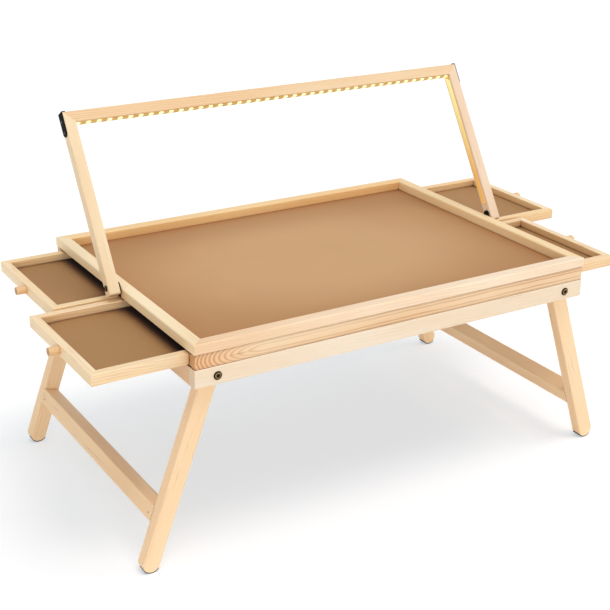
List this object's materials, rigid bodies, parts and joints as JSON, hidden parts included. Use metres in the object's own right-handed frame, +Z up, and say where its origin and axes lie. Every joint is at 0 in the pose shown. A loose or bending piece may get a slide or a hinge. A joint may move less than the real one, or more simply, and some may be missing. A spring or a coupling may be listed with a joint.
{
  "type": "jigsaw puzzle table",
  "caption": "Low wooden jigsaw puzzle table with a rimmed play board, drawers sliding out of both ends, fold-down splayed legs and a tilting light frame.",
  "frame": {"origin": "on the floor under the middle of the table top", "axes": "+X to the right along the table's length, +Y to the rear, +Z up"},
  "size_m": [1.289, 0.6248, 0.73],
  "materials": {
    "tray_wood": "clear satin lacquer on pale pine",
    "base_wood": "sanded pale pine",
    "drawer_wood": "clear satin lacquer on pale pine",
    "leg_wood": "sanded pale pine with a few dark streaks",
    "light_wood": "clear satin lacquer on pale pine",
    "play_board": "matte brown smooth-faced board",
    "drawer_board": "matte brown thin board",
    "knob_wood": "turned dowel, sanded",
    "bronze_bolt": "dark bronze finish, satin",
    "black_steel": "black coat, semi-gloss",
    "steel": "zinc-plated",
    "nylon": "natural nylon",
    "led_strip": "clear flexible strip with warm LEDs",
    "felt": "dark brown felt"
  },
  "bodies": {
    "table": {"tray_front_rail": "tray_wood", "tray_right_rail": "tray_wood", "tray_rear_rail": "tray_wood", "tray_left_rail": "tray_wood", "hinge_plates": "black_steel", "light_pivot_bolts": "bronze_bolt", "light_pivot_washers": "nylon", "play_board": "play_board", "floor_panel": "drawer_board", "front_spacer_rail": "tray_wood", "rear_spacer_rail": "tray_wood", "cross_rail": "tray_wood", "left_divider": "tray_wood", "right_divider": "tray_wood", "base_front_rail": "base_wood", "base_rear_rail": "base_wood", "base_left_rail": "base_wood", "base_right_rail": "base_wood", "leg_pivot_bolts": "bronze_bolt", "leg_pivot_nuts": "steel"},
    "left_rear_drawer": {"left_rear_drawer_face": "drawer_wood", "left_rear_drawer_back": "drawer_wood", "left_rear_drawer_front_side": "drawer_wood", "left_rear_drawer_rear_side": "drawer_wood", "left_rear_drawer_base": "drawer_board", "left_rear_drawer_knob": "knob_wood"},
    "left_front_drawer": {"left_front_drawer_face": "drawer_wood", "left_front_drawer_back": "drawer_wood", "left_front_drawer_front_side": "drawer_wood", "left_front_drawer_rear_side": "drawer_wood", "left_front_drawer_base": "drawer_board", "left_front_drawer_knob": "knob_wood"},
    "right_rear_drawer": {"right_rear_drawer_face": "drawer_wood", "right_rear_drawer_back": "drawer_wood", "right_rear_drawer_front_side": "drawer_wood", "right_rear_drawer_rear_side": "drawer_wood", "right_rear_drawer_base": "drawer_board", "right_rear_drawer_knob": "knob_wood"},
    "right_front_drawer": {"right_front_drawer_face": "drawer_wood", "right_front_drawer_back": "drawer_wood", "right_front_drawer_front_side": "drawer_wood", "right_front_drawer_rear_side": "drawer_wood", "right_front_drawer_base": "drawer_board", "right_front_drawer_knob": "knob_wood"},
    "left_leg_frame": {"left_front_leg": "leg_wood", "left_rear_leg": "leg_wood", "left_leg_brace": "leg_wood", "left_foot_pads": "felt"},
    "right_leg_frame": {"right_front_leg": "leg_wood", "right_rear_leg": "leg_wood", "right_leg_brace": "leg_wood", "right_foot_pads": "felt"},
    "light_frame": {"light_left_arm": "light_wood", "light_right_arm": "light_wood", "light_top_bar": "light_wood", "light_strips": "led_strip", "corner_straps": "black_steel", "corner_strap_screws": "steel"}
  },
  "joints": [
    {"name": "left_rear_drawer_slide", "type": "slide", "parent": "table", "child": "left_rear_drawer", "axis": [-1, 0, 0], "range_m": [-0.129, 0.201]},
    {"name": "left_front_drawer_slide", "type": "slide", "parent": "table", "child": "left_front_drawer", "axis": [-1, 0, 0], "range_m": [-0.177, 0.153]},
    {"name": "right_rear_drawer_slide", "type": "slide", "parent": "table", "child": "right_rear_drawer", "axis": [1, 0, 0], "range_m": [-0.204, 0.126]},
    {"name": "right_front_drawer_slide", "type": "slide", "parent": "table", "child": "right_front_drawer", "axis": [1, 0, 0], "range_m": [-0.105, 0.225]},
    {"name": "left_leg_fold", "type": "hinge", "parent": "table", "child": "left_leg_frame", "pos_m": [-0.3912, 0, 0.36954], "axis": [0, -1, 0], "range_deg": [0, 109.4]},
    {"name": "right_leg_fold", "type": "hinge", "parent": "table", "child": "right_leg_frame", "pos_m": [0.3912, 0, 0.36954], "axis": [0, 1, 0], "range_deg": [0, 109.4]},
    {"name": "light_frame_tilt", "type": "hinge", "parent": "table", "child": "light_frame", "pos_m": [0, -0.005, 0.43504], "axis": [1, 0, 0], "range_deg": [-57.6, 122.4]}
  ]
}
